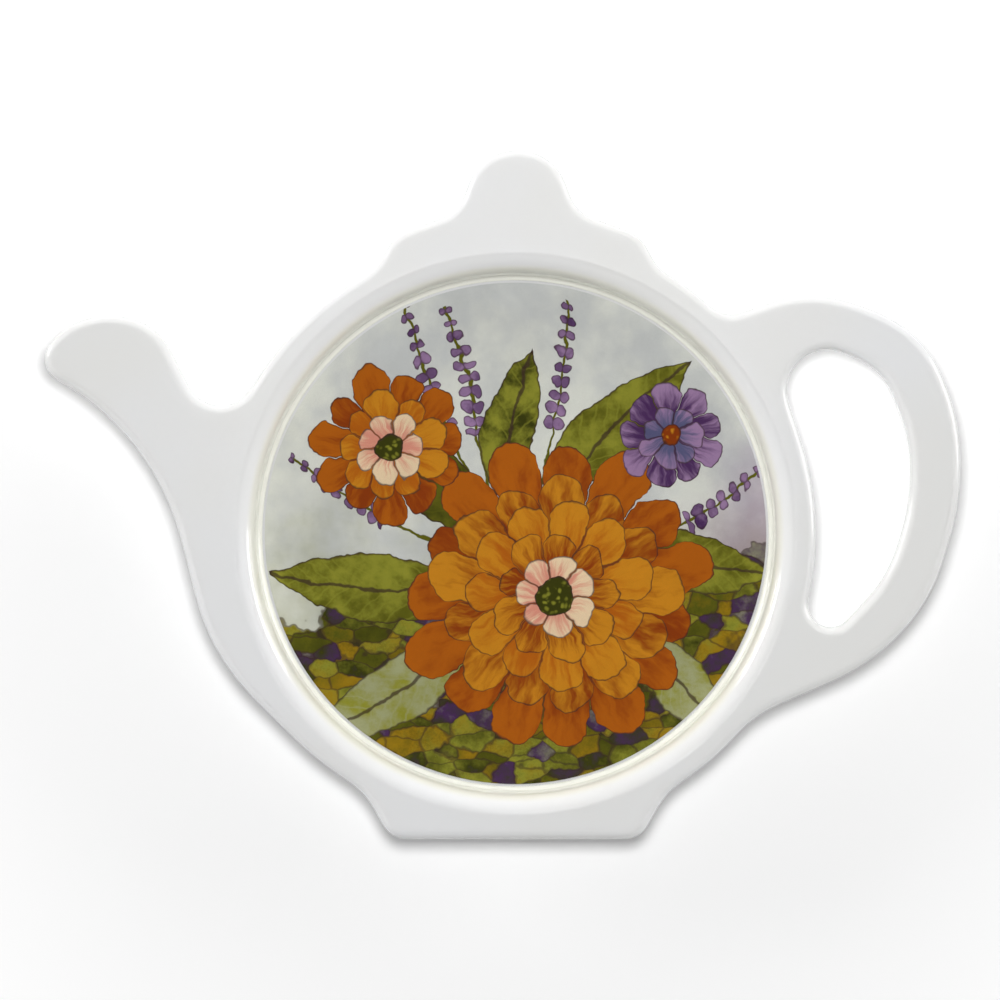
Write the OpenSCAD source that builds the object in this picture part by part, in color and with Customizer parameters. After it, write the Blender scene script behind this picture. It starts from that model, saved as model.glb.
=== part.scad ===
// Tea bag rest: a flat tray cut in the outline of a teapot, with a round well for the wet tea bag.
// Millimetres. The tray lies on the table with its well facing up. The origin is on the table under
// the middle of the well, the lid's knob points to +Y, the handle to +X and the spout to -X.

/* [Well] */
// Diameter of the printed disc on the floor of the well
print_d = 88; // [76:1:96]
// Width of the clear glaze that seals the edge of the print
seal_w = 0.4; // [0.2:0.1:1]
// Depth of the well, from the brim down to the glazed floor
well_depth = 6.5; // [5.5:0.1:12]
// Lean of the well's wall from upright, in degrees
wall_lean = 8; // [2:0.5:14]
// Radius between the floor and the wall
floor_fillet = 0.8; // [0.4:0.1:1.6]
// Radius where the wall rolls over into the brim
lip_r = 3.8; // [2:0.1:4.2]

/* [Tray] */
// Width of the flat brim at its narrowest, between the lip of the well and the outline
brim_w = 3.15; // [2.6:0.05:6]
// Thickness of the brim
brim_t = 3; // [2.4:0.1:4]
// Thickness of the wall of the well
wall_t = 2.6; // [1.8:0.1:3]
// Thickness of the moulding under the print
floor_t = 2.2; // [1.6:0.1:3.5]
// Radius of the upper edge, round the outline and the finger opening
top_edge_r = 1.4; // [0.8:0.1:1.7]
// Radius of the lower edge, round the outline and the finger opening
under_edge_r = 0.5; // [0.3:0.1:0.8]
// Draft of the edge from upright, in degrees
edge_draft = 3; // [0.5:0.5:6]
// Radius of the heel, where the underside turns up from the floor into the wall
heel_r = 4; // [2:0.5:6]
// Radius between the wall and the brim on the underside
brim_fillet = 1.2; // [0.6:0.1:1.5]

/* [Foot ring] */
// Distance of the ring that the tray stands on, in from the outside of the heel
ring_inset = 8; // [6:0.5:16]
// Width of the ring where it meets the table
ring_w = 2.4; // [1.5:0.1:5]
// Height of the ring
ring_h = 0.8; // [0.5:0.1:2]
// Width that each side of the ring gains from the table up to the floor
ring_flare = 0.4; // [0.2:0.1:0.8]

/* [Printed disc] */
// Thickness of the printed foil
foil_t = 0.2; // [0.1:0.05:0.4]
// Thickness of the clear glaze over the foil
glaze_t = 0.3; // [0.1:0.05:0.6]

/* [Spout] */
// Reach of the spout beyond the round of the pot
spout_l = 30; // [24:0.5:40]
// Height of the spout's crown above the middle of the well
spout_h = 38; // [32:0.5:44]

/* [Lid] */
// Width of the lid over its shoulders
lid_w = 43; // [36:0.5:50]
// Height of the knob's top above the round of the pot
knob_h = 14.5; // [11:0.5:18]
// Diameter of the knob
knob_d = 18; // [14:0.5:20]
// Distance of the lid's middle from the middle of the well, towards the handle
lid_shift = 0.3; // [-2:0.1:2]

/* [Handle] */
// Reach of the handle beyond the round of the pot
handle_l = 25.3; // [22:0.1:32]
// Height of the handle's crown above the middle of the well
handle_h = 41.4; // [36:0.1:46]
// Width of the handle's band round the finger opening
handle_band = 8.8; // [7:0.1:10.5]
// Radius of the finger opening at its top, beside the pot
opening_crown_r = 7.1; // [5:0.1:8]
// Radius of the finger opening at its bottom, beside the pot
opening_toe_r = 4; // [2.5:0.1:5]

/* [Foot of the pot] */
// Width of the flat foot at the bottom of the outline
pot_foot_w = 43.7; // [36:0.1:48]
// Height of the foot, from the round of the pot to its flat edge
pot_foot_h = 8; // [6:0.1:10]

/* [Hidden] */

// Farthest that a chord may stray from its arc, and the widest turn from one chord to the next
chord_error = 0.02;
arc_step = 24;
// Points of an outline that lie closer together than this are one point
least_gap = 0.02;
// Length by which a cut runs past the solid that it cuts
overrun = 1;
// Facets of the round pieces in a preview
round_fn = 180;

// Levels, from the table up
foil_z = ring_h + floor_t;
floor_z = foil_z + foil_t + glaze_t;
brim_top_z = floor_z + well_depth;
brim_under_z = brim_top_z - brim_t;

// Radii of the well, from the print out to the round of the pot. A fillet between the level and
// the leaning wall takes this share of its radius on each side.
print_r = print_d / 2;
glaze_r = print_r + seal_w;
wall_turn_share = tan((90 - wall_lean) / 2);
wall_foot_r = glaze_r + floor_fillet * wall_turn_share;
wall_head_r = wall_foot_r + well_depth * tan(wall_lean);
rim_r = wall_head_r + lip_r * wall_turn_share;
body_r = rim_r + brim_w;

// The same wall on its underside, where it meets the levels of the floor and of the brim
heel_out_r = wall_foot_r + wall_t / cos(wall_lean) - (floor_z - ring_h) * tan(wall_lean);
brim_out_r = heel_out_r + (brim_under_z - ring_h) * tan(wall_lean);
ring_out_r = heel_out_r - ring_inset;
ring_in_r = ring_out_r - ring_w;

// Rounded outlines. A corner is [x, y, radius], and the corners follow each other round the shape.
// Each point that comes back is [x, y, x and y of the unit vector to the right of the path].
function heading(from, to) = atan2(to[1] - from[1], to[0] - from[0]);
function gap(from, to) = norm([to[0] - from[0], to[1] - from[1]]);
function turn(a, b, c) =
    let (t = heading(b, c) - heading(a, b))
    t > 180 ? t - 360 : t < -180 ? t + 360 : t;
function before(c, i) = c[(i + len(c) - 1) % len(c)];
function after(c, i) = c[(i + 1) % len(c)];
function turn_at(c, i) = turn(before(c, i), c[i], after(c, i));
function tangent_len(c, i) = c[i][2] * abs(tan(turn_at(c, i) / 2));
// Share of a corner's radius that its two sides have room for
function room_share(c, i) =
    let (
        n = len(c),
        t = tangent_len(c, i),
        t_before = tangent_len(c, (i + n - 1) % n),
        t_after = tangent_len(c, (i + 1) % n)
    )
    t == 0 ? 1 : min(1, gap(before(c, i), c[i]) / (t_before + t), gap(c[i], after(c, i)) / (t + t_after));
// Number of chords in an arc of radius r that turns through t degrees
function chords(r, t) =
    let (step = 2 * acos(max(0, 1 - chord_error / r)))
    max(1, ceil(abs(t) / min(arc_step, step)));
// The arc that rounds a corner, from the end of one side to the start of the next
function corner_arc(c, i) =
    let (
        t = turn_at(c, i),
        h = heading(before(c, i), c[i]),
        r = c[i][2] * room_share(c, i),
        side = sign(t),
        arc_start = [c[i][0], c[i][1]] - r * abs(tan(t / 2)) * [cos(h), sin(h)],
        centre = arc_start + side * r * [-sin(h), cos(h)],
        n = r == 0 ? 1 : chords(r, t)
    )
    r == 0 ? [[c[i][0], c[i][1], sin(h + t / 2), -cos(h + t / 2)]] :
    [for (s = [0 : n]) let (a = h + t * s / n)
        [centre[0] + side * r * sin(a), centre[1] - side * r * cos(a), sin(a), -cos(a)]];
function apart(path) =
    [for (i = [0 : len(path) - 1]) if (gap(path[i], after(path, i)) > least_gap) path[i]];
function rounded(c) = apart([for (i = [0 : len(c) - 1]) each corner_arc(c, i)]);
// The path as plain points
function flat(path) = [for (p = path) [p[0], p[1]]];
// The corner of a parallel outline that lies to the left by a distance
function moved_corner(c, i, d) =
    let (a = heading(before(c, i), c[i]) + turn_at(c, i) / 2, reach = d / cos(turn_at(c, i) / 2))
    [c[i][0] - reach * sin(a), c[i][1] + reach * cos(a), c[i][2] - d * sign(turn_at(c, i))];
// The point where a line through p at heading a meets a line through q at heading b
function meeting(p, a, q, b) =
    let (s = ((q[0] - p[0]) * sin(b) - (q[1] - p[1]) * cos(b)) / sin(b - a))
    [p[0] + s * cos(a), p[1] + s * sin(a)];

// Points on the round of the pot, at an angle and at a distance across from the well's axis
function pot_point(angle) = body_r * [cos(angle), sin(angle)];
function pot_y(x) = sqrt(body_r * body_r - x * x);
// The corner whose arc follows the round of the pot. stretch is [angle, half of its span].
function pot_arc(stretch) = concat(pot_point(stretch[0]) / cos(stretch[1]), body_r);

// Corners of half of the lid, from the knob down to its seat on the pot: share of half the lid's
// width, share of the knob's height above the pot, and radius as a share of the knob's diameter
lid_shares = [
    [0.3, 1.0, 0.49],
    [0.475, 0.255, 0.38],
    [1.0, -0.02, 0.38]
];
seat_share = [1.14, 0.55];
seat_x = lid_w / 2 * seat_share[0];
lid_half = concat(
    [for (s = lid_shares) [lid_w / 2 * s[0], body_r + knob_h * s[1], knob_d * s[2]]],
    [[seat_x, pot_y(seat_x), knob_d * seat_share[1]]]
);
lid_left = [for (p = lid_half) [lid_shift - p[0], p[1], p[2]]];
lid_right = [for (i = [len(lid_half) - 1 : -1 : 0])
    let (p = lid_half[i])
    [lid_shift + p[0], p[1], p[2]]];

// Corners of the spout, from the bay above it round its lip to its root: share of its reach beyond
// the pot, share of its height, and radius as a share of its reach
spout_shares = [
    [-0.01, 0.42, 0.21],
    [0.325, 0.945, 0.36],
    [0.58, 1.015, 0.5],
    [0.855, 0.97, 0.36],
    [1.07, 0.775, 0.14],
    [0.355, 0.445, 1.48],
    [0.025, -0.565, 1.27]
];
spout = [for (s = spout_shares) [-body_r - spout_l * s[0], spout_h * s[1], spout_l * s[2]]];

// Corners of the handle's outer side, from the bottom up and over the crown: share of its reach
// beyond the pot, share of its height, and radius as a share of its height
handle_shares = [
    [0.4, -0.55, 0.9],
    [0.8, -0.28, 0.75],
    [1, 0.13, 1.05],
    [1, 0.47, 0.85],
    [0.78, 0.805, 0.48],
    [0.43, 0.94, 0.68],
    [-0.06, 1.03, 0.53]
];
handle = [for (s = handle_shares) [body_r + handle_l * s[0], handle_h * s[1], handle_h * s[2]]];
// Bays between the handle and the pot: angle on the pot, and radius as a share of the handle's height
bay_low_angle = -37.3;
bay_high_angle = 45.7;
bay_low_share = 0.6;
bay_high_share = 0.13;

// Corners of the pot's foot: width at the pot as a share of the flat foot's width, and the radii
// of its seat and of its tips as shares of its height
foot_top_share = 1.2;
foot_seat_share = 1.8;
foot_tip_share = 0.58;
foot_top_x = pot_foot_w / 2 * foot_top_share;
foot_y = -pot_y(foot_top_x) - pot_foot_h;

// Stretches of the outline that follow the round of the pot, in degrees: middle, and half of span
lid_to_spout = [135, 12.5];
spout_to_foot = [228, 6];
foot_to_handle = [-48.5, 5];
handle_to_lid = [56, 4];

outline = rounded(concat(
    lid_left,
    [pot_arc(lid_to_spout)],
    spout,
    [
        pot_arc(spout_to_foot),
        [-foot_top_x, -pot_y(foot_top_x), pot_foot_h * foot_seat_share],
        [-pot_foot_w / 2, foot_y, pot_foot_h * foot_tip_share],
        [pot_foot_w / 2, foot_y, pot_foot_h * foot_tip_share],
        [foot_top_x, -pot_y(foot_top_x), pot_foot_h * foot_seat_share],
        pot_arc(foot_to_handle),
        concat(pot_point(bay_low_angle), handle_h * bay_low_share)
    ],
    handle,
    [
        concat(pot_point(bay_high_angle), handle_h * bay_high_share),
        pot_arc(handle_to_lid)
    ],
    lid_right
));

// The finger opening. Its outer side lies the band's width inside the handle's outer side, with a
// share of that width for each corner but the first and the last. Its inner side follows the round
// of the pot between two angles.
band_shares = [0.97, 0.95, 1.05, 1.05, 1];
last = len(band_shares);
toe_angle = -12;
crown_angle = 18;
opening_side = [(crown_angle + toe_angle) / 2, (crown_angle - toe_angle) / 2];
opening_outer = [for (i = [1 : last]) moved_corner(handle, i, handle_band * band_shares[i - 1])];
opening_toe = meeting(
    opening_outer[0], heading(handle[0], handle[1]),
    pot_point(toe_angle), toe_angle + 90
);
opening_crown = meeting(
    opening_outer[last - 1], heading(handle[last], handle[last + 1]),
    pot_point(crown_angle), crown_angle + 90
);
opening = rounded(concat(
    [concat(opening_toe, opening_toe_r)],
    opening_outer,
    [concat(opening_crown, opening_crown_r), pot_arc(opening_side)]
));

// Section of the rolled edge, from the brim's underside round to its top: distance in from the
// outline, and height above the underside. The cut that rolls the edge runs past it on the outside.
draft_in = brim_t * tan(edge_draft);
edge_in = draft_in + top_edge_r;
edge_cut = flat(rounded([
    [edge_in, -overrun, 0],
    [edge_in, 0, 0],
    [0, 0, under_edge_r],
    [draft_in, brim_t, top_edge_r],
    [edge_in, brim_t, 0],
    [edge_in, brim_t + overrun, 0],
    [-overrun, brim_t + overrun, 0],
    [-overrun, -overrun, 0]
]));

// What is cut away to roll the edge along a closed path. side is 1 where the path runs
// anticlockwise round the material, and -1 where it runs anticlockwise round an opening.
module edge_roll(path, side) {
    n = len(path);
    m = len(edge_cut);
    points = [for (p = path) for (s = edge_cut)
        [p[0] - side * s[0] * p[2], p[1] - side * s[0] * p[3], s[1]]];
    faces = [for (i = [0 : n - 1]) for (j = [0 : m - 1])
        let (
            a = i * m + j,
            b = i * m + (j + 1) % m,
            c = (i + 1) % n * m + (j + 1) % m,
            d = (i + 1) % n * m + j
        )
        each side > 0 ? [[a, c, b], [a, d, c]] : [[a, b, c], [a, c, d]]];
    polyhedron(points, faces);
}

// The brim, a plate in the teapot's outline with its edges rolled
module brim() {
    translate([0, 0, brim_under_z])
        difference() {
            linear_extrude(brim_t)
                difference() {
                    polygon(flat(outline));
                    polygon(flat(opening));
                }
            edge_roll(outline, 1);
            edge_roll(opening, -1);
        }
}

// The bowl with its foot ring, filled solid up into the brim
module bowl_outside() {
    rotate_extrude($fn = round_fn)
        polygon(flat(rounded([
            [0, ring_h, 0],
            [ring_in_r - ring_flare, ring_h, 0],
            [ring_in_r, 0, 0],
            [ring_out_r, 0, 0],
            [ring_out_r + ring_flare, ring_h, 0],
            [heel_out_r, ring_h, heel_r],
            [brim_out_r, brim_under_z, brim_fillet],
            [brim_out_r + brim_fillet * wall_turn_share, brim_under_z, 0],
            [brim_out_r + brim_fillet * wall_turn_share, brim_top_z - brim_t / 2, 0],
            [0, brim_top_z - brim_t / 2, 0]
        ])));
}

// The space of the well, with the seat of the print at its bottom
module well_space() {
    rotate_extrude($fn = round_fn)
        polygon(flat(rounded([
            [0, foil_z, 0],
            [glaze_r, foil_z, 0],
            [glaze_r, floor_z, 0],
            [wall_foot_r, floor_z, floor_fillet],
            [wall_head_r, brim_top_z, lip_r],
            [rim_r, brim_top_z, 0],
            [rim_r, brim_top_z + overrun, 0],
            [0, brim_top_z + overrun, 0]
        ])));
}

// The tray: one compression moulding
module tray_moulding() {
    color("whitesmoke")
        difference() {
            union() {
                brim();
                bowl_outside();
            }
            well_space();
        }
}

// The printed foil on the floor of the well
module printed_foil() {
    color("peru")
        translate([0, 0, foil_z])
            cylinder(h = foil_t, r = print_r, $fn = round_fn);
}

// The clear glaze that covers the foil and seals its edge
module clear_glaze() {
    color("aliceblue", 0.5)
        translate([0, 0, foil_z])
            difference() {
                cylinder(h = foil_t + glaze_t, r = glaze_r, $fn = round_fn);
                translate([0, 0, -overrun])
                    cylinder(h = foil_t + overrun, r = print_r, $fn = round_fn);
            }
}

tray_moulding();
printed_foil();
clear_glaze();
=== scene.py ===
import math

import bmesh
import bpy
import numpy as np
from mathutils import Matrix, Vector
from mathutils.geometry import delaunay_2d_cdt


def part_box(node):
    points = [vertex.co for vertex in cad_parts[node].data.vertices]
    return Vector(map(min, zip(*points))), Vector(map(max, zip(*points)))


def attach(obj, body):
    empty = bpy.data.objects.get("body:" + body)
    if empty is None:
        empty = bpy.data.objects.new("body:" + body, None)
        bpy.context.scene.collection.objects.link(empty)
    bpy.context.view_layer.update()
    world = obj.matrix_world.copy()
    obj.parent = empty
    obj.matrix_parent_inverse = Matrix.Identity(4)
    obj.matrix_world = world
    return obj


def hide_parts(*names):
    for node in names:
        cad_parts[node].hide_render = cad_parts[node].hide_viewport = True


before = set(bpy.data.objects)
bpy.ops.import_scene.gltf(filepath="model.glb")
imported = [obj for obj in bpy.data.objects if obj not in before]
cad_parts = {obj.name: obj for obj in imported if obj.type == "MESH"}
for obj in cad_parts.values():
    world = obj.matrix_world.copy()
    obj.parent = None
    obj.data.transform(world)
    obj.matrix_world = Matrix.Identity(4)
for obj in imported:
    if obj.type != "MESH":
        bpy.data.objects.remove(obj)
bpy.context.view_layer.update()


# The tray moulding. It is one piece of white melamine, compression-moulded: a flat brim in the
# outline of a teapot, with its edges rolled, round a dished well that stands on a foot ring.
# The mould is polished inside, so the well and the brim come out glossy.
MM = 0.001
BRIM_THICK = 3 * MM
ROLL_RADIUS = 1.4 * MM
UNDER_RADIUS = 0.5 * MM
EDGE_DRAFT = math.radians(3)
WALL_LEAN = math.radians(8)
WALL_THICK = 2.6 * MM
LIP_RADIUS = 3.8 * MM
FLOOR_FILLET = 0.8 * MM
HEEL_RADIUS = 4 * MM
BRIM_FILLET = 1.2 * MM
RING_INSET = 8 * MM
RING_WIDTH = 2.4 * MM
RING_HEIGHT = 0.8 * MM
RING_FLARE = 0.4 * MM
RING_ROUND = 0.15 * MM
WELL_FACET = math.radians(5)
BOWL_FACET = math.radians(6)
ROUND_STEPS = 360
# A narrow band of even quads borders each flat face, so that its shading is flat up to its rims
FLAT_BAND = 0.5 * MM
# The seat under the print lies this much lower than in the solid, so that no faces coincide
SEAT_GAP = 0.02 * MM
# Points are one where they agree to so many decimals of a metre
FRAME_DECIMALS, MESH_DECIMALS = 6, 8

brim_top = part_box("tray_moulding")[1].z
brim_under = brim_top - BRIM_THICK
well_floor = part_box("clear_glaze")[1].z
seat_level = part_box("printed_foil")[0].z - SEAT_GAP
glaze_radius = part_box("clear_glaze")[1].x


def flat_rims(node, level):
    """Rims of a node's flat face at a level, longest first, as closed rows of x, y with the face
    on the left. A rim edge is an edge of one triangle of the face that no other triangle of the
    face runs in the other direction, and the next edge of a rim starts where it ends."""
    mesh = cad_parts[node].data
    mesh.calc_loop_triangles()
    corners = np.zeros(len(mesh.vertices) * 3)
    mesh.vertices.foreach_get("co", corners)
    triangles = np.zeros(len(mesh.loop_triangles) * 3, int)
    mesh.loop_triangles.foreach_get("vertices", triangles)
    corners = np.round(corners.reshape(-1, 3), FRAME_DECIMALS)
    places, which = np.unique(corners, axis=0, return_inverse=True)
    triangles = which.ravel()[triangles].reshape(-1, 3)
    face = triangles[np.all(np.isclose(places[triangles][:, :, 2], level, atol=1e-6), axis=1)]
    edges = np.concatenate([face[:, [0, 1]], face[:, [1, 2]], face[:, [2, 0]]])
    forward = edges[:, 0] * len(places) + edges[:, 1]
    backward = edges[:, 1] * len(places) + edges[:, 0]
    after = dict(edges[~np.isin(forward, backward)].tolist())
    rims = []
    while after:
        walk = [next(iter(after))]
        while walk[-1] in after:
            walk.append(after.pop(walk[-1]))
        rims.append(places[walk[:-1], :2])
    return sorted(rims, key=lambda rim: -np.linalg.norm(np.diff(rim, axis=0), axis=1).sum())


def fair_path(rim, longest=3.2 * MM, steps=5):
    """A smooth closed path along a rim, as rows of x, y and rows of its unit normal, which points
    to the right. Sides over the longest are divided evenly, and the path is the uniform cubic
    B-spline of the points: (1-t)^3/6, (3t^3-6t^2+4)/6, (-3t^3+3t^2+3t+1)/6 and t^3/6 of four
    points in a row."""
    sides = np.roll(rim, -1, axis=0) - rim
    parts = np.ceil(np.linalg.norm(sides, axis=1) / longest).astype(int)
    share = np.concatenate([np.arange(n) / n for n in parts])
    points = np.repeat(rim, parts, axis=0) + share[:, None] * np.repeat(sides, parts, axis=0)
    t = (np.arange(steps) / steps)[None, :, None]
    four = [np.roll(points, shift, axis=0)[:, None] for shift in (1, 0, -1, -2)]
    weights = ((1 - t) ** 3, 3 * t**3 - 6 * t**2 + 4, -3 * t**3 + 3 * t**2 + 3 * t + 1, t**3)
    slopes = (-((1 - t) ** 2), 3 * t**2 - 4 * t, -3 * t**2 + 2 * t + 1, t**2)
    path = sum(w * p for w, p in zip(weights, four)).reshape(-1, 2) / 6
    along = sum(s * p for s, p in zip(slopes, four)).reshape(-1, 2)
    along /= np.linalg.norm(along, axis=1, keepdims=True)
    return path, np.stack([along[:, 1], -along[:, 0]], axis=1)


def rounded_section(corners, facet=math.radians(9)):
    """The line through the corners [out, up, radius], each rounded by an arc that touches both of
    its sides. The arc's points are centre + radius * (cos a * w + sin a * s), where w points from
    the centre to the corner, s along the line, and a runs over the turn at the corner."""
    place = np.array([c[:2] for c in corners])
    rows = [place[:1]]
    for before, corner, after, (_, _, radius) in zip(place, place[1:], place[2:], corners[1:]):
        back = (before - corner) / np.linalg.norm(before - corner)
        on = (after - corner) / np.linalg.norm(after - corner)
        if radius == 0:
            rows.append(corner[None])
            continue
        half_turn = math.acos(np.clip(back @ on, -1, 1)) / 2
        w = -(back + on) / np.linalg.norm(back + on)
        s = (on - back) / np.linalg.norm(on - back)
        reach = math.pi / 2 - half_turn
        a = np.linspace(-reach, reach, max(2, math.ceil(2 * reach / facet) + 1))[:, None]
        centre = corner - w * radius / math.sin(half_turn)
        rows.append(centre + radius * (np.cos(a) * w + np.sin(a) * s))
    return np.concatenate([*rows, place[-1:]])


def swept(path, normal, section):
    """Grid of points: the section's out goes along the path's normal, and its up along Z."""
    flat = path[None] + section[:, :1, None] * normal[None]
    up = np.broadcast_to(section[:, 1:, None], flat.shape[:2] + (1,))
    return np.concatenate([flat, up], axis=2)


def turned(section, steps=ROUND_STEPS):
    """Grid of points: the section's out is the radius round Z, and its up the height."""
    angle = np.arange(steps) * 2 * math.pi / steps
    ring = np.stack([np.cos(angle), np.sin(angle)], axis=1)
    return swept(np.zeros((steps, 2)), ring, section)


def grid_part(grid):
    """The points of a grid, and the quads between its successive closed rows."""
    rows, steps = grid.shape[:2]
    i, j = np.meshgrid(np.arange(rows - 1), np.arange(steps), indexing="ij")
    here, beside = i * steps + j, i * steps + (j + 1) % steps
    quads = np.stack([here, beside, beside + steps, here + steps], axis=2)
    return grid.reshape(-1, 3), quads.reshape(-1, 4)


def flat_part(rims, level):
    """Points and triangles of the flat face between an outer rim and the rims inside it. A
    triangle belongs to the face where a line from its middle along +X crosses the rims an odd
    number of times."""
    flat = np.concatenate(rims)
    numbers = np.split(np.arange(len(flat)), np.cumsum([len(rim) for rim in rims])[:-1])
    edges = np.concatenate([np.column_stack([row, np.roll(row, -1)]) for row in numbers])
    within_outer_rim, nearness = 1, 1e-9
    places = [Vector(point) for point in flat]
    found = delaunay_2d_cdt(places, edges.tolist(), [], within_outer_rim, nearness)
    points, triangles = np.array(found[0]), np.array(found[2])
    middle = points[triangles].mean(axis=1)[:, None]
    ends = flat[edges]
    side = ends[:, 1] - ends[:, 0]
    arm = middle - ends[:, 0]
    crosses = (arm[..., 1] < 0) != (middle[..., 1] < ends[:, 1, 1])
    left = side[:, 0] * arm[..., 1] - side[:, 1] * arm[..., 0] > 0
    odd = np.sum(crosses & (left == (side[:, 1] > 0)), axis=1) % 2 == 1
    return np.column_stack([points, np.full(len(points), level)]), triangles[odd]


def closed_piece(name, parts, smooth_under=math.radians(35)):
    """One closed mesh of parts, each a pair of points and faces. Points that coincide become one,
    faces that are nothing but a line go, and the faces are turned to point outwards. Edges stay
    sharp where they turn by more than the angle given."""
    points, faces, start = [], [], 0
    for part_points, part_faces in parts:
        points.append(part_points)
        faces += (part_faces + start).tolist()
        start += len(points[-1])
    points = np.round(np.concatenate(points), MESH_DECIMALS)
    places, which = np.unique(points, axis=0, return_inverse=True)
    which = which.ravel().tolist()
    faces = [list(dict.fromkeys(which[corner] for corner in face)) for face in faces]
    mesh = bpy.data.meshes.new(name)
    mesh.from_pydata(places.tolist(), [], [face for face in faces if len(face) > 2])
    shape = bmesh.new()
    shape.from_mesh(mesh)
    bmesh.ops.remove_doubles(shape, verts=shape.verts, dist=1e-7)
    bmesh.ops.recalc_face_normals(shape, faces=shape.faces)
    open_edges = sum(not edge.is_manifold for edge in shape.edges)
    shape.to_mesh(mesh)
    shape.free()
    if open_edges:
        print(f"{name}: {open_edges} edges aren't closed")
    mesh.shade_smooth()
    mesh.set_sharp_from_angle(angle=smooth_under)
    piece = bpy.data.objects.new(name, mesh)
    bpy.context.scene.collection.objects.link(piece)
    even = piece.modifiers.new("even shading", "WEIGHTED_NORMAL")
    even.keep_sharp = True
    even.weight = 90
    return piece


outer_rim, lip_rim, opening_rim = flat_rims("tray_moulding", brim_top)
rim_radius = float(np.linalg.norm(lip_rim, axis=1).mean())
outer_path, outer_normal = fair_path(outer_rim)
opening_path, opening_normal = fair_path(opening_rim)

draft_in = BRIM_THICK * math.tan(EDGE_DRAFT)
edge_reach = ROLL_RADIUS * math.tan((math.pi / 2 - EDGE_DRAFT) / 2)
edge_section = rounded_section([
    [-FLAT_BAND, brim_top, 0],
    [edge_reach, brim_top, ROLL_RADIUS],
    [edge_reach + draft_in, brim_under, UNDER_RADIUS],
    [-FLAT_BAND, brim_under, 0],
])
wall_turn = math.tan((math.pi / 2 - WALL_LEAN) / 2)
wall_head = rim_radius - LIP_RADIUS * wall_turn
wall_foot = wall_head - (brim_top - well_floor) * math.tan(WALL_LEAN)
well_section = rounded_section([
    [rim_radius + FLAT_BAND, brim_top, 0],
    [wall_head, brim_top, LIP_RADIUS],
    [wall_foot, well_floor, FLOOR_FILLET],
    [glaze_radius, well_floor, 0],
    [glaze_radius, seat_level, 0],
    [0, seat_level, 0],
], WELL_FACET)
heel = wall_foot + WALL_THICK / math.cos(WALL_LEAN)
heel -= (well_floor - RING_HEIGHT) * math.tan(WALL_LEAN)
under_wall_head = heel + (brim_under - RING_HEIGHT) * math.tan(WALL_LEAN)
bowl_radius = under_wall_head + BRIM_FILLET * wall_turn
ring_out = heel - RING_INSET
bowl_section = rounded_section([
    [0, RING_HEIGHT, 0],
    [ring_out - RING_WIDTH - RING_FLARE, RING_HEIGHT, RING_ROUND],
    [ring_out - RING_WIDTH, 0, RING_ROUND],
    [ring_out, 0, RING_ROUND],
    [ring_out + RING_FLARE, RING_HEIGHT, RING_ROUND],
    [heel, RING_HEIGHT, HEEL_RADIUS],
    [under_wall_head, brim_under, BRIM_FILLET],
    [bowl_radius + FLAT_BAND, brim_under, 0],
], BOWL_FACET)

outer_grid = swept(outer_path, outer_normal, edge_section)
opening_grid = swept(opening_path, opening_normal, edge_section)
well_grid = turned(well_section)
bowl_grid = turned(bowl_section)
top_rims = [outer_grid[0, :, :2], opening_grid[0, :, :2], well_grid[0, :, :2]]
under_rims = [outer_grid[-1, :, :2], opening_grid[-1, :, :2], bowl_grid[-1, :, :2]]
tray = closed_piece("tray", [
    grid_part(outer_grid),
    grid_part(opening_grid),
    grid_part(well_grid),
    grid_part(bowl_grid),
    flat_part(top_rims, brim_top),
    flat_part(under_rims, brim_under),
])


class Wire:
    """An output socket of one of a finish's nodes. Arithmetic on it adds Math nodes."""

    def __init__(self, finish, socket):
        self.finish, self.socket = finish, socket

    def math(self, operation, *values):
        return self.finish.node("ShaderNodeMath", {"operation": operation}, values)

    def __add__(self, other):
        return self.math("ADD", self, other)

    def __sub__(self, other):
        return self.math("SUBTRACT", self, other)

    def __mul__(self, other):
        return self.math("MULTIPLY", self, other)

    def __truediv__(self, other):
        return self.math("DIVIDE", self, other)

    def __pow__(self, other):
        return self.math("POWER", self, other)

    def __radd__(self, other):
        return self.math("ADD", other, self)

    def __rsub__(self, other):
        return self.math("SUBTRACT", other, self)

    def __rmul__(self, other):
        return self.math("MULTIPLY", other, self)

    def __rtruediv__(self, other):
        return self.math("DIVIDE", other, self)

    def __abs__(self):
        return self.math("ABSOLUTE", self)

    def least(self, other):
        return self.math("MINIMUM", self, other)

    def most(self, other):
        return self.math("MAXIMUM", self, other)

    def other(self, name):
        """Another output of the same node."""
        return Wire(self.finish, self.socket.node.outputs[name])

    def sine(self):
        return self.math("SINE", self)

    def times_plus(self, factor, more):
        return self.math("MULTIPLY_ADD", self, factor, more)

    def chance(self):
        """A random value from 0 to 1, the same wherever this value is the same."""
        return self.finish.node("ShaderNodeTexWhiteNoise", {"noise_dimensions": "1D"}, {"W": self})

    def whole(self):
        return self.math("FLOOR", self)

    def rest(self):
        return self.math("FRACT", self)

    def ramp(self, low, high):
        """0 below low and 1 above high, with a smooth step between them; low may be the larger."""
        settings = {"interpolation_type": "SMOOTHSTEP"}
        return self.finish.node("ShaderNodeMapRange", settings, (self, low, high, 0.0, 1.0))


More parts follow.
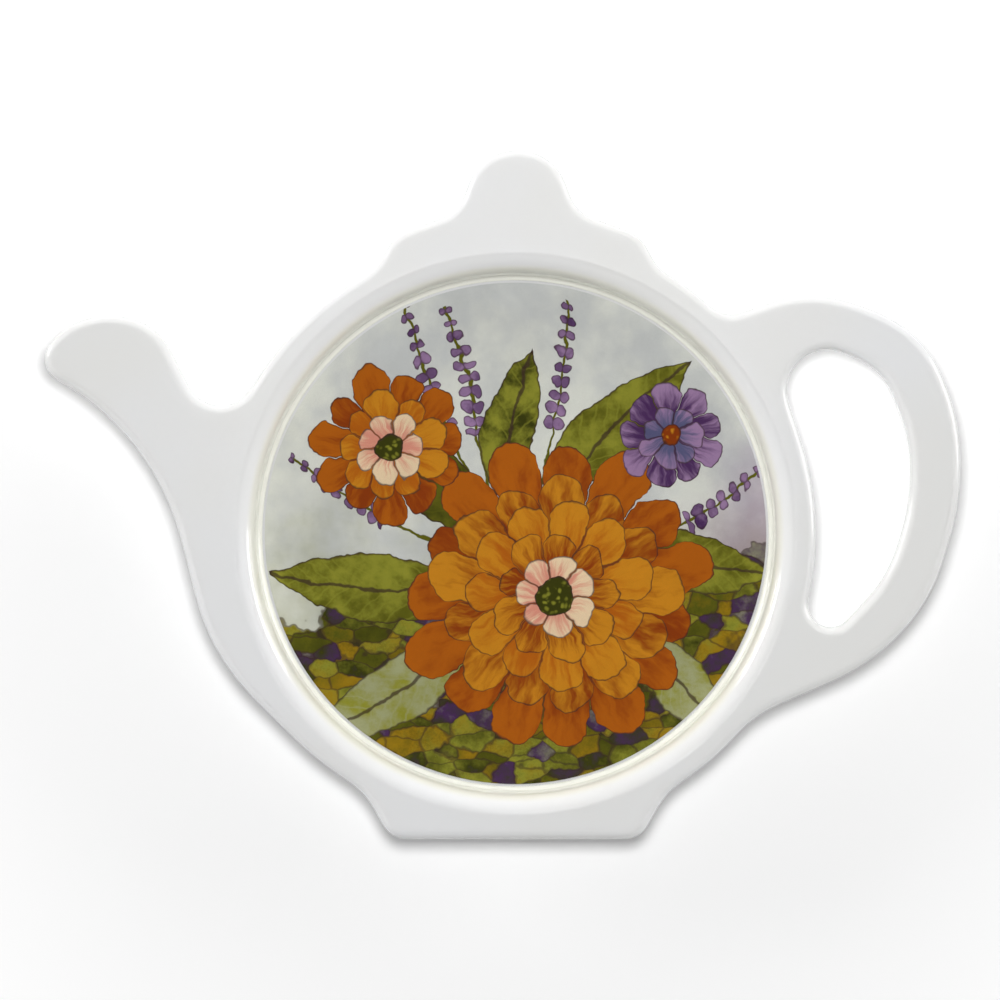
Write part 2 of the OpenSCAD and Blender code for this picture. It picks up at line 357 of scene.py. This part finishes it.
class Finish:
    """The nodes of a material or of the world, which are made by calls."""

    def __init__(self, owner):
        self.owner = owner
        owner.use_nodes = True
        self.tree = owner.node_tree
        self.tree.nodes.clear()

    def node(self, kind, settings=None, values=(), output=0):
        """Adds a node, sets its settings and the values or links of its sockets, which are given
        in order or by name, and returns one of its outputs."""
        made = self.tree.nodes.new(kind)
        for name, setting in (settings or {}).items():
            if name == "stops":
                while len(made.color_ramp.elements) < len(setting):
                    made.color_ramp.elements.new(0.5)
                for element, (place, colour) in zip(made.color_ramp.elements, setting):
                    element.position, element.color = place, (*colour, 1.0)
            else:
                setattr(made, name, setting)
        pairs = values.items() if isinstance(values, dict) else enumerate(values)
        for key, value in pairs:
            socket = made.inputs[key]
            if isinstance(value, Wire):
                self.tree.links.new(value.socket, socket)
            else:
                four = socket.type == "RGBA" and len(value) == 3
                socket.default_value = (*value, 1.0) if four else value
        return Wire(self, made.outputs[output]) if made.outputs else None

    def split(self, place):
        """The X, Y and Z of a place or a direction."""
        first = self.node("ShaderNodeSeparateXYZ", None, [place])
        return first, first.other("Y"), first.other("Z")

    def mix(self, share, first, second, blend="MIX"):
        """The first colour, with a share of the second mixed in."""
        settings = {"data_type": "RGBA", "blend_type": blend}
        return self.node("ShaderNodeMix", settings, {0: share, 6: first, 7: second}, 2)

    def noise(self, place, scale, detail, roughness, output=0):
        """A cloudy noise from 0 to 1 with so many cells in a unit of the place."""
        values = {"Vector": place, "Scale": scale, "Detail": detail, "Roughness": roughness}
        return self.node("ShaderNodeTexNoise", None, values, output)

    def surface(self, shader):
        """Puts the shader out, and returns the finished material or world."""
        kind = "World" if isinstance(self.owner, bpy.types.World) else "Material"
        self.node("ShaderNodeOutput" + kind, None, {"Surface": shader})
        return self.owner


MELAMINE_WHITE = (0.80, 0.805, 0.812)
MELAMINE_CREAM = (0.79, 0.79, 0.775)
# Painted light: the cream laid on the well's wall near its floor, for the light that the wall catches
# there
WALL_PAINTED_LIGHT = (0.81, 0.81, 0.73)
POLISHED = 0.085
BUFFED_DULL = 0.18
UNDERSIDE_DULL = 0.12
PARTING_UP = 1.1 * MM
BUFFED_HALF = 0.45 * MM
BUFFED_SOLID = 0.15 * MM
EDGE_CLEAR = 1.2 * MM
UNDERSIDE_FADE = 0.3 * MM
# How far the painted light on the well's wall reaches out over the lip, and how far below the well's
# floor it fades
PAINTED_LIGHT_REACH = 1.2 * MM
PAINTED_LIGHT_FADE = 0.2 * MM
# Cells in a metre of the noises that vary its colour and gloss, and that ripple its face
FLOW_SCALE, GRAIN_SCALE = 22.0, 900.0
SWELL_SCALE, DIMPLE_SCALE = 45.0, 260.0
melamine = Finish(bpy.data.materials.new("white_melamine"))
place = melamine.node("ShaderNodeTexCoord", output="Object")
x, y, z = melamine.split(place)
radius = (x * x + y * y) ** 0.5
# The mould's halves meet about a third of the way up the outer edge, where the flash is buffed off
buffed = abs(z - (brim_under + PARTING_UP)).ramp(BUFFED_HALF, BUFFED_SOLID)
buffed = buffed * radius.ramp(rim_radius + EDGE_CLEAR, rim_radius + EDGE_CLEAR + MM)
# The underside of the brim comes from the plain half of the mould
underside = z.ramp(brim_under + UNDERSIDE_FADE, brim_under) * radius.ramp(wall_head, wall_head + MM)
flow = melamine.noise(place, FLOW_SCALE, 3.0, 0.55)
grain = melamine.noise(place, GRAIN_SCALE, 2.0, 0.6)
colour = melamine.mix(flow.ramp(0.35, 0.7), MELAMINE_WHITE, MELAMINE_CREAM)
# Painted light: a cream tint on the well's wall, from its floor up and fading out over the lip, for the
# light that the wall catches there
painted_wall_light = radius.ramp(wall_head + PAINTED_LIGHT_REACH, wall_head) * z.ramp(well_floor - PAINTED_LIGHT_FADE, well_floor)
colour = melamine.mix(painted_wall_light, colour, WALL_PAINTED_LIGHT)
gloss = POLISHED + flow * 0.05 + grain * 0.03 + buffed * BUFFED_DULL + underside * UNDERSIDE_DULL
ripple = melamine.noise(place, SWELL_SCALE, 2.0, 0.4) * 0.6
ripple = ripple + melamine.noise(place, DIMPLE_SCALE, 2.0, 0.5) * 0.05
melamine_bump = melamine.node("ShaderNodeBump", None, {
    "Strength": 0.05,
    "Distance": 0.6 * MM,
    "Height": ripple,
})
shader = melamine.node("ShaderNodeBsdfPrincipled", None, {
    "Base Color": colour,
    "Roughness": gloss,
    "IOR": 1.6,
    "Normal": melamine_bump,
    "Coat Weight": 0.25,
    "Coat Roughness": 0.04,
})
tray.data.materials.append(melamine.surface(shader))
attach(tray, "root")
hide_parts("tray_moulding")


# The printed foil. It is a round sheet of decor paper, printed in full colour and soaked with
# melamine, which is laid on the floor of the well and pressed into one with the moulding. Its
# print is a bouquet in watercolour and ink: dahlias in rust and gold, leaves and lavender.
INK = (0.045, 0.022, 0.018)
RUST, GOLD, AMBER = (0.25, 0.042, 0.004), (0.58, 0.235, 0.014), (0.43, 0.110, 0.006)
CREAM, PINK, OCHRE = (0.80, 0.62, 0.40), (0.68, 0.28, 0.20), (0.32, 0.19, 0.008)
OLIVE, MOSS, LIME = (0.040, 0.042, 0.004), (0.11, 0.108, 0.008), (0.27, 0.27, 0.030)
PURPLE, LILAC, SLATE = (0.070, 0.026, 0.10), (0.34, 0.21, 0.37), (0.10, 0.10, 0.20)
MIST, SKY, SAGE = (0.71, 0.72, 0.655), (0.56, 0.575, 0.565), (0.35, 0.36, 0.19)
print_paint = Finish(bpy.data.materials.new("watercolour_print"))

# Places and widths on the print are in millimetres, and a painted edge fades over EDGE_SOFT. The
# drawing's own place strays from the true one by up to half a millimetre, as a hand does from a
# true line: HAND_STRAY times a noise that is seldom more than 0.15 off its middle.
EDGE_SOFT = 0.12
HAND_STRAY = 3.6
NOISE_MIDDLE = (0.5, 0.5, 0.5)
true_place = print_paint.node("ShaderNodeVectorMath", {"operation": "SCALE"}, {
    0: print_paint.node("ShaderNodeTexCoord", output="Object"),
    "Scale": 1 / MM,
})
stray = print_paint.node("ShaderNodeVectorMath", {"operation": "SUBTRACT"}, [
    print_paint.noise(true_place, 0.16, 3.0, 0.55, "Color"), NOISE_MIDDLE])
push = print_paint.node("ShaderNodeVectorMath", {"operation": "SCALE"}, {0: stray, "Scale": HAND_STRAY})
hand_place = print_paint.node("ShaderNodeVectorMath", {"operation": "ADD"}, [true_place, push])
hand_x, hand_y, _ = print_paint.split(hand_place)
wet = print_paint.noise(true_place, 0.035, 5.0, 0.6)
cloud = print_paint.noise(true_place, 0.05, 4.0, 0.6)
pool = print_paint.noise(true_place, 0.2, 4.0, 0.6)
blots = print_paint.noise(true_place, 0.12, 5.0, 0.65)
tooth = print_paint.noise(true_place, 2.6, 3.0, 0.7)
seeds = print_paint.node("ShaderNodeTexVoronoi", None, {"Vector": hand_place, "Scale": 0.95})


def along_across(at, angle):
    """Distances along and across from a point on the print, along an angle in degrees."""
    c, s = math.cos(math.radians(angle)), math.sin(math.radians(angle))
    along = hand_x.times_plus(c, hand_y.times_plus(s, -c * at[0] - s * at[1]))
    across = hand_x.times_plus(-s, hand_y.times_plus(c, s * at[0] - c * at[1]))
    return along, across


def inked(under, depth, body, line, share):
    """Lays a painted shape over what is under it. Its depth is the distance inside its edge, and
    a share of ink darkens it from the edge to a line's width inside."""
    body = print_paint.mix(depth.ramp(line, EDGE_SOFT) * share, body, INK)
    return print_paint.mix(depth.ramp(0.0, EDGE_SOFT), under, body)


def leaf(under, at, angle, length, width, dark, light):
    """Lays a leaf over what is under it. Half of its width is width * 4t(1-t) at the share t of
    its length, and it has a rib along the middle and veins that run forward from it."""
    vein_pitch, vein_rake, rib_half, rib_solid = 3.1, 1.3, 0.42, 0.16
    along, across = along_across(at, angle)
    t = along * (1 / length)
    off = abs(across + t * t * (width * 0.8) - width * 0.25)
    depth = t * (1 - t) * (4 * width) - off
    body = print_paint.mix(pool.ramp(0.35, 0.65), dark, light)
    veins = ((along - off * vein_rake) * (2 * math.pi / vein_pitch)).sine()
    body = print_paint.mix(veins.ramp(0.7, 1.0) * 0.4, body, light)
    body = print_paint.mix(off.ramp(rib_half, rib_solid) * 0.8, body, INK)
    return inked(under, depth, body, 0.55, 0.85)


def sprig(under, at, angle, length, bend, dark, light, stem):
    """Lays a sprig of lavender over what is under it: a thin stem bent by bend * t^2 at the share
    t of its length, and pairs of round buds at even steps, smaller towards the tip."""
    pitch, bud_size, bud_loss, bud_aside, first_bud, last_bud = 2.5, 1.62, 0.95, 0.82, 0.36, 1.02
    stem_half, steep = 0.32, 40.0
    along, across = along_across(at, angle)
    t = along * (1 / length)
    off = abs(across - t * t * bend)
    stalk = (stem_half - off).least(t * (1 - t) * steep)
    step = along * (1 / pitch)
    within = (step.rest() - 0.5) * pitch
    size = bud_size - t * bud_loss
    aside = off - size * bud_aside
    bud = size - (within * within + aside * aside) ** 0.5
    bud = bud.least((t - first_bud) * steep).least((last_bud - t) * steep)
    tone = step.whole().chance()
    body = print_paint.mix(tone * 0.5 + pool.ramp(0.4, 0.6) * 0.5, dark, light)
    laid = print_paint.mix(stalk.ramp(0.0, EDGE_SOFT), under, stem)
    return inked(laid, bud, body, 0.4, 0.7)


def flower_place(at, strokes):
    """Round a flower's middle: the distance from it, the angle, and a noise drawn out along the
    radius, for brush strokes, which has the given number of strokes in a radian."""
    along, across = along_across(at, 0)
    rho = (along * along + across * across) ** 0.5
    angle = across.math("ARCTAN2", across, along)
    way = print_paint.node("ShaderNodeCombineXYZ", None, [
        along / rho * strokes, across / rho * strokes, rho * 0.14])
    return rho, angle, print_paint.noise(way, 1.0, 3.0, 0.6)


def petal_ring(under, flower, turn, count, reach, seed, deep, bright):
    """Lays a ring of petals over what is under it. The angle round the middle is cut into count
    slots, and in each, with u from -1 to 1 across it, the petal reaches
    reach * (0.74 + 0.26 * sqrt(1 - u^2)), more or less by up to a tenth."""
    shoulder, uneven, slots_ahead = 0.74, 0.1, 100
    rho, angle, stroke = flower
    slot = angle * (count / (2 * math.pi)) + (turn / 360 * count + slots_ahead)
    number = slot.whole()
    chance = (number.math("FLOORED_MODULO", number, float(count)) + seed).chance()
    u = slot.rest() * 2 - 1
    bulge = shoulder + (1 - u * u).most(0.0) ** 0.5 * (1 - shoulder)
    tip = bulge * (reach * (1 - uneven) + chance * (reach * uneven * 2))
    side = (1 - abs(u)) * rho * (1.5 * math.pi / count)
    depth = (tip - rho).least(side)
    share = (rho * (0.95 / reach) + (stroke - 0.5) * 1.9 + (chance - 0.5) * 0.5).ramp(0.3, 1.1)
    body = print_paint.mix(share, deep, bright)
    rib = abs(u + (stroke - 0.5) * 0.2).ramp(0.10, 0.02)
    rib = rib * (rho * (1 / reach)).ramp(0.95, 0.6) * 0.4
    body = print_paint.mix(rib, body, deep)
    return inked(under, depth, body, 0.45, 0.85)


def flower_eye(under, flower, size, dark, light):
    """Lays the eye of a flower over what is under it: a disc of seeds, light at their middles."""
    rho = flower[0]
    body = print_paint.mix(seeds.ramp(0.12, 0.5), light, dark)
    body = print_paint.mix(rho.ramp(size * 0.2, size * 0.95) * 0.35, body, dark)
    return inked(under, size - rho, body, 0.5, 0.8)


# The washes of the sky, the hills and the dusk, each of which spreads by the wet paper's noise
picture = print_paint.mix(cloud.ramp(0.38, 0.62), SKY, MIST)
hills = (hand_y * -0.022 + wet * 1.6 - 0.62).ramp(0.0, 0.6) * 0.85
picture = print_paint.mix(hills, picture, SAGE)
dusk = (hand_x * 0.02 - hand_y * 0.018 + wet * 1.5 - 1.05).ramp(0.0, 0.7) * 0.5
picture = print_paint.mix(dusk, picture, LILAC)
# The bank below is of brush dabs: a pattern of cells, drawn out sideways, each of one pigment
DAB_DENSITY = (0.19, 0.36, 0.3)
BANK_PIGMENTS = (
    (0.0, OLIVE), (0.22, MOSS), (0.4, OCHRE), (0.55, LIME), (0.7, OLIVE), (0.82, PURPLE), (1.0, SAGE))
dab_place = print_paint.node("ShaderNodeVectorMath", {"operation": "MULTIPLY"}, [
    hand_place, DAB_DENSITY])
dab_values = {"Vector": dab_place, "Scale": 1.0, "Randomness": 0.9}
dab_colour = print_paint.node("ShaderNodeTexVoronoi", None, dab_values, "Color")
dab_pigment, _, _ = print_paint.split(dab_colour)
dab_edge = print_paint.node("ShaderNodeTexVoronoi", {"feature": "DISTANCE_TO_EDGE"}, dab_values)
bank = print_paint.node("ShaderNodeValToRGB", {"stops": BANK_PIGMENTS}, [
    dab_pigment * 0.75 + pool * 0.5 - 0.12])
bank = print_paint.mix((blots + tooth * 0.5).ramp(0.62, 0.95) * 0.5, bank, OLIVE)
bank = print_paint.mix(dab_edge.ramp(0.07, 0.015) * 0.6, bank, INK)
slope = hand_y * -0.045 + wet * 2.0 - 1.4
picture = print_paint.mix(slope.ramp(0.0, 0.05), picture, bank)
picture = print_paint.mix(slope.ramp(0.05, 0.02) * slope.ramp(0.0, 0.02) * 0.6, picture, INK)

# Sprigs of lavender: where each starts, its angle, its length and its bend
SPRIGS = (
    ((-6, 6), 118, 36, -4),
    ((-4, 4), 98, 37, 3),
    ((4, 6), 74, 35, 5),
    ((-12, -2), 160, 31, -5),
    ((22, -2), 22, 24, 4),
)
for at, angle, length, bend in SPRIGS:
    picture = sprig(picture, at, angle, length, bend, PURPLE, LILAC, MOSS)

# Leaves: where each starts, its angle, its length, its width and its two pigments
LEAVES = (
    ((0, -2), 140, 38, 5.6, OLIVE, MOSS),
    ((6, 4), 52, 36, 5.8, MOSS, LIME),
    ((-6, -8), 184, 37, 6.0, MOSS, LIME),
    ((12, -6), 2, 34, 5.6, MOSS, LIME),
    ((-8, -16), 222, 34, 5.8, LIME, SAGE),
    ((18, -18), -38, 28, 5.2, LIME, SAGE),
    ((-2, 6), 84, 27, 4.6, OLIVE, LIME),
)
for at, angle, length, width, dark, light in LEAVES:
    picture = leaf(picture, at, angle, length, width, dark, light)

# Flowers: the middle, the brush strokes in a radian, the rings of petals from the outermost in,
# and the eye with its size and pigments. A ring has its turn, its petals, its reach, its seed and
# its two pigments.
FLOWERS = (
    ((7, -11), 9.0, (
        (0, 15, 26.5, 3, RUST, AMBER),
        (11, 13, 21.5, 41, RUST, GOLD),
        (3, 11, 16.5, 83, AMBER, GOLD),
        (17, 9, 11.5, 127, RUST, GOLD),
        (5, 7, 7.2, 171, PINK, CREAM),
    ), (3.4, OLIVE, LIME)),
    ((-22, 15), 7.0, (
        (8, 11, 13.5, 211, RUST, AMBER),
        (0, 9, 9.8, 251, AMBER, GOLD),
        (20, 7, 6.2, 293, PINK, CREAM),
    ), (2.4, OLIVE, LIME)),
    ((27, 17), 6.0, (
        (4, 9, 9.4, 331, PURPLE, LILAC),
        (24, 7, 5.6, 367, SLATE, LILAC),
    ), (1.9, RUST, GOLD)),
)
for at, strokes, rings, eye in FLOWERS:
    flower = flower_place(at, strokes)
    for ring in rings:
        picture = petal_ring(picture, flower, *ring)
    picture = flower_eye(picture, flower, *eye)

# Pigment gathers in blots and in the paper's tooth, which leaves a grain
tone = 0.80 + blots * 0.26 + tooth * 0.14
grey_tone = print_paint.node("ShaderNodeCombineColor", None, [tone, tone, tone])
picture = print_paint.mix(1.0, picture, grey_tone, "MULTIPLY")
fibre = print_paint.node("ShaderNodeBump", None, {
    "Strength": 0.08,
    "Distance": 0.1 * MM,
    "Height": tooth,
})
shader = print_paint.node("ShaderNodeBsdfPrincipled", None, {
    "Base Color": picture,
    "Roughness": 0.55 + tooth * 0.1,
    "Normal": fibre,
    "Specular IOR Level": 0.05,
})
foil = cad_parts["printed_foil"]
foil.data.materials.clear()
foil.data.materials.append(print_paint.surface(shader))


# The clear glaze. It is clear melamine powder that is pressed over the print in the same mould:
# a hard glossy skin, flush with the floor of the well, that laps over the edge of the print.
GLAZE_GAP = 0.02 * MM
HEAD_ON_SHINE = 0.04
# Cells in a metre of the noises that ripple its face
SAG_SCALE, PIT_SCALE = 60.0, 420.0
glaze_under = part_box("clear_glaze")[0].z
foil_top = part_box("printed_foil")[1].z + GLAZE_GAP
foil_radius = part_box("printed_foil")[1].x + GLAZE_GAP
glaze_grid = turned(rounded_section([
    [0, well_floor, 0],
    [glaze_radius - GLAZE_GAP, well_floor, 0],
    [glaze_radius - GLAZE_GAP, glaze_under, 0],
    [foil_radius, glaze_under, 0],
    [foil_radius, foil_top, 0],
    [0, foil_top, 0],
]))
glaze = closed_piece("glaze", [grid_part(glaze_grid)])
glaze_paint = Finish(bpy.data.materials.new("clear_glaze_skin"))
place = glaze_paint.node("ShaderNodeTexCoord", output="Object")
sag = glaze_paint.noise(place, SAG_SCALE, 2.0, 0.45) * 0.7
sag = sag + glaze_paint.noise(place, PIT_SCALE, 2.0, 0.5) * 0.08
glaze_bump = glaze_paint.node("ShaderNodeBump", None, {
    "Strength": 0.05,
    "Distance": 0.5 * MM,
    "Height": sag,
})
# Only the open face mirrors: underneath, the glaze is fused to the print with no gap of air. With
# c the cosine of the angle of view, the share that it mirrors is s + (1 - s) * (1 - c)^5.
_, _, height = glaze_paint.split(place)
open_face = height.math("GREATER_THAN", height, well_floor - GLAZE_GAP)
facing = glaze_paint.node("ShaderNodeLayerWeight", None, {"Blend": 0.5}, "Facing")
share = (facing ** 5 * (1 - HEAD_ON_SHINE) + HEAD_ON_SHINE) * open_face
clear = glaze_paint.node("ShaderNodeBsdfTransparent", None, {"Color": (1.0, 1.0, 1.0)})
shine = glaze_paint.node("ShaderNodeBsdfGlossy", None, {
    "Color": (1.0, 1.0, 1.0),
    "Roughness": 0.06,
    "Normal": glaze_bump,
})
glaze_shader = glaze_paint.node("ShaderNodeMixShader", None, [share, clear, shine])
glaze.data.materials.append(glaze_paint.surface(glaze_shader))
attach(glaze, "root")
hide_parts("clear_glaze")


# The table: a plain pale sheet that takes the tray's shadow. It shows white to the camera and in
# reflections, and lights the tray from below as plain paper would.
FLOOR_DROP = 0.05 * MM
FLOOR_HALF = 3.0
PAPER_WHITE = (0.95, 0.95, 0.95)
PAPER_GLOW = 0.12
PAPER_NEAR = 75 * MM
PAPER_FAR = 350 * MM
corners = np.array([(-1, -1, 0), (1, -1, 0), (1, 1, 0), (-1, 1, 0)]) * FLOOR_HALF
corners -= (0, 0, FLOOR_DROP)
floor_mesh = bpy.data.meshes.new("table")
floor_mesh.from_pydata(corners.tolist(), [], [(0, 1, 2, 3)])
floor = bpy.data.objects.new("table", floor_mesh)
bpy.context.scene.collection.objects.link(floor)
paper = Finish(bpy.data.materials.new("pale_paper"))
seen = paper.node("ShaderNodeLightPath", output="Is Camera Ray")
seen = seen.most(seen.other("Is Glossy Ray")).most(seen.other("Is Transmission Ray"))
# Round the tray the sheet shows its shadows, and further off it whitens out into the backdrop
paper_x, paper_y, _ = paper.split(paper.node("ShaderNodeTexCoord", output="Object"))
far_off = ((paper_x * paper_x + paper_y * paper_y) ** 0.5).ramp(PAPER_NEAR, PAPER_FAR)
white_share = seen * far_off.times_plus(1 - PAPER_GLOW, PAPER_GLOW)
glow_colour = paper.mix(white_share, (0.0, 0.0, 0.0), (1.0, 1.0, 1.0))
glow = paper.node("ShaderNodeEmission", None, {"Color": glow_colour, "Strength": 1.0})
diffuse = paper.node("ShaderNodeBsdfDiffuse", None, {"Color": PAPER_WHITE})
floor_mesh.materials.append(paper.surface(paper.node("ShaderNodeAddShader", None, [diffuse, glow])))


# The light: a soft lamp overhead, a little towards the lid, which draws the short shadow; a low
# lamp on the lid's side; a low panel at each end, whose mirror images are the bright crescents in
# the well; and a pale room, which is brighter low down and on the spout's side.
def lamp(name, azimuth, elevation, distance, width, height, value, glossy=True):
    """A soft lamp, at an azimuth and an elevation in degrees and a distance in metres from the
    middle of the tray. It gives a white face turned towards it the given value: an area lamp of
    W watts at d metres gives W / (pi^2 * d^2)."""
    data = bpy.data.lights.new(name, "AREA")
    data.shape, data.size, data.size_y = "RECTANGLE", width, height
    data.energy = value * math.pi**2 * distance**2
    made = bpy.data.objects.new(name, data)
    bpy.context.scene.collection.objects.link(made)
    a, e = math.radians(azimuth), math.radians(elevation)
    arm = Vector((math.cos(a) * math.cos(e), math.sin(a) * math.cos(e), math.sin(e))) * distance
    made.location = arm + Vector((0.0, 0.0, brim_top))
    made.rotation_euler = (-arm).to_track_quat("-Z", "Y").to_euler()
    made.visible_glossy = glossy


lamp("overhead", 90, 82, 0.55, 0.15, 0.15, 0.70, glossy=False)
lamp("lid_side", 90, 10, 0.5, 0.5, 0.12, 0.34, glossy=False)
lamp("handle_side", 15, 9, 1.0, 0.55, 0.2, 0.33)
lamp("spout_side", 159, 9, 1.0, 0.40, 0.2, 0.33)

# To the camera the room is white. In mirroring faces it is white too, but dark right overhead,
# where the camera hangs, so that the print keeps its depth.
ROOM_BASE = 0.055
ROOM_LOW = 0.55
ROOM_SPOUT_SIDE = 0.15
DARK_FROM, DARK_FULL, DARK_SHARE = 0.85, 0.97, 0.95
room = Finish(bpy.data.worlds.new("studio"))
seen = room.node("ShaderNodeLightPath", output="Is Camera Ray")
mirrored = seen.other("Is Glossy Ray")
seen = seen.most(seen.other("Is Transmission Ray"))
handle_way, _, up = room.split(room.node("ShaderNodeTexCoord", output="Generated"))
low_down = (1 - up.most(0.0)) ** 3.0
room_light = ROOM_BASE + low_down * ROOM_LOW + (handle_way * -1).most(0.0) * ROOM_SPOUT_SIDE
dark_overhead = 1 - up.ramp(DARK_FROM, DARK_FULL) * DARK_SHARE
strength = (1 - seen.most(mirrored)) * room_light + seen.most(mirrored * dark_overhead)
background = room.node("ShaderNodeBackground", None, {"Color": (1.0, 1.0, 1.0), "Strength": strength})
bpy.context.scene.world = room.surface(background)

# The camera looks straight down with a long lens. The middle of the well lies at WELL_PIXEL of
# the square picture, and the brim is drawn at PIXELS_PER_MM.
PICTURE = 1000
WELL_PIXEL = (515.5, 533.5)
PIXELS_PER_MM = 5.731
LENS = 250.0
SENSOR = 36.0
camera_data = bpy.data.cameras.new("camera")
camera_data.lens = LENS
camera_data.sensor_width = SENSOR
camera_data.clip_start, camera_data.clip_end = 0.01, 20.0
distance = PICTURE / PIXELS_PER_MM * MM * LENS / SENSOR
camera = bpy.data.objects.new("camera", camera_data)
bpy.context.scene.collection.objects.link(camera)
camera.location = (
    (PICTURE / 2 - WELL_PIXEL[0]) / PIXELS_PER_MM * MM,
    (WELL_PIXEL[1] - PICTURE / 2) / PIXELS_PER_MM * MM,
    brim_top + distance,
)
bpy.context.scene.camera = camera
bpy.context.scene.view_settings.view_transform = "Standard"
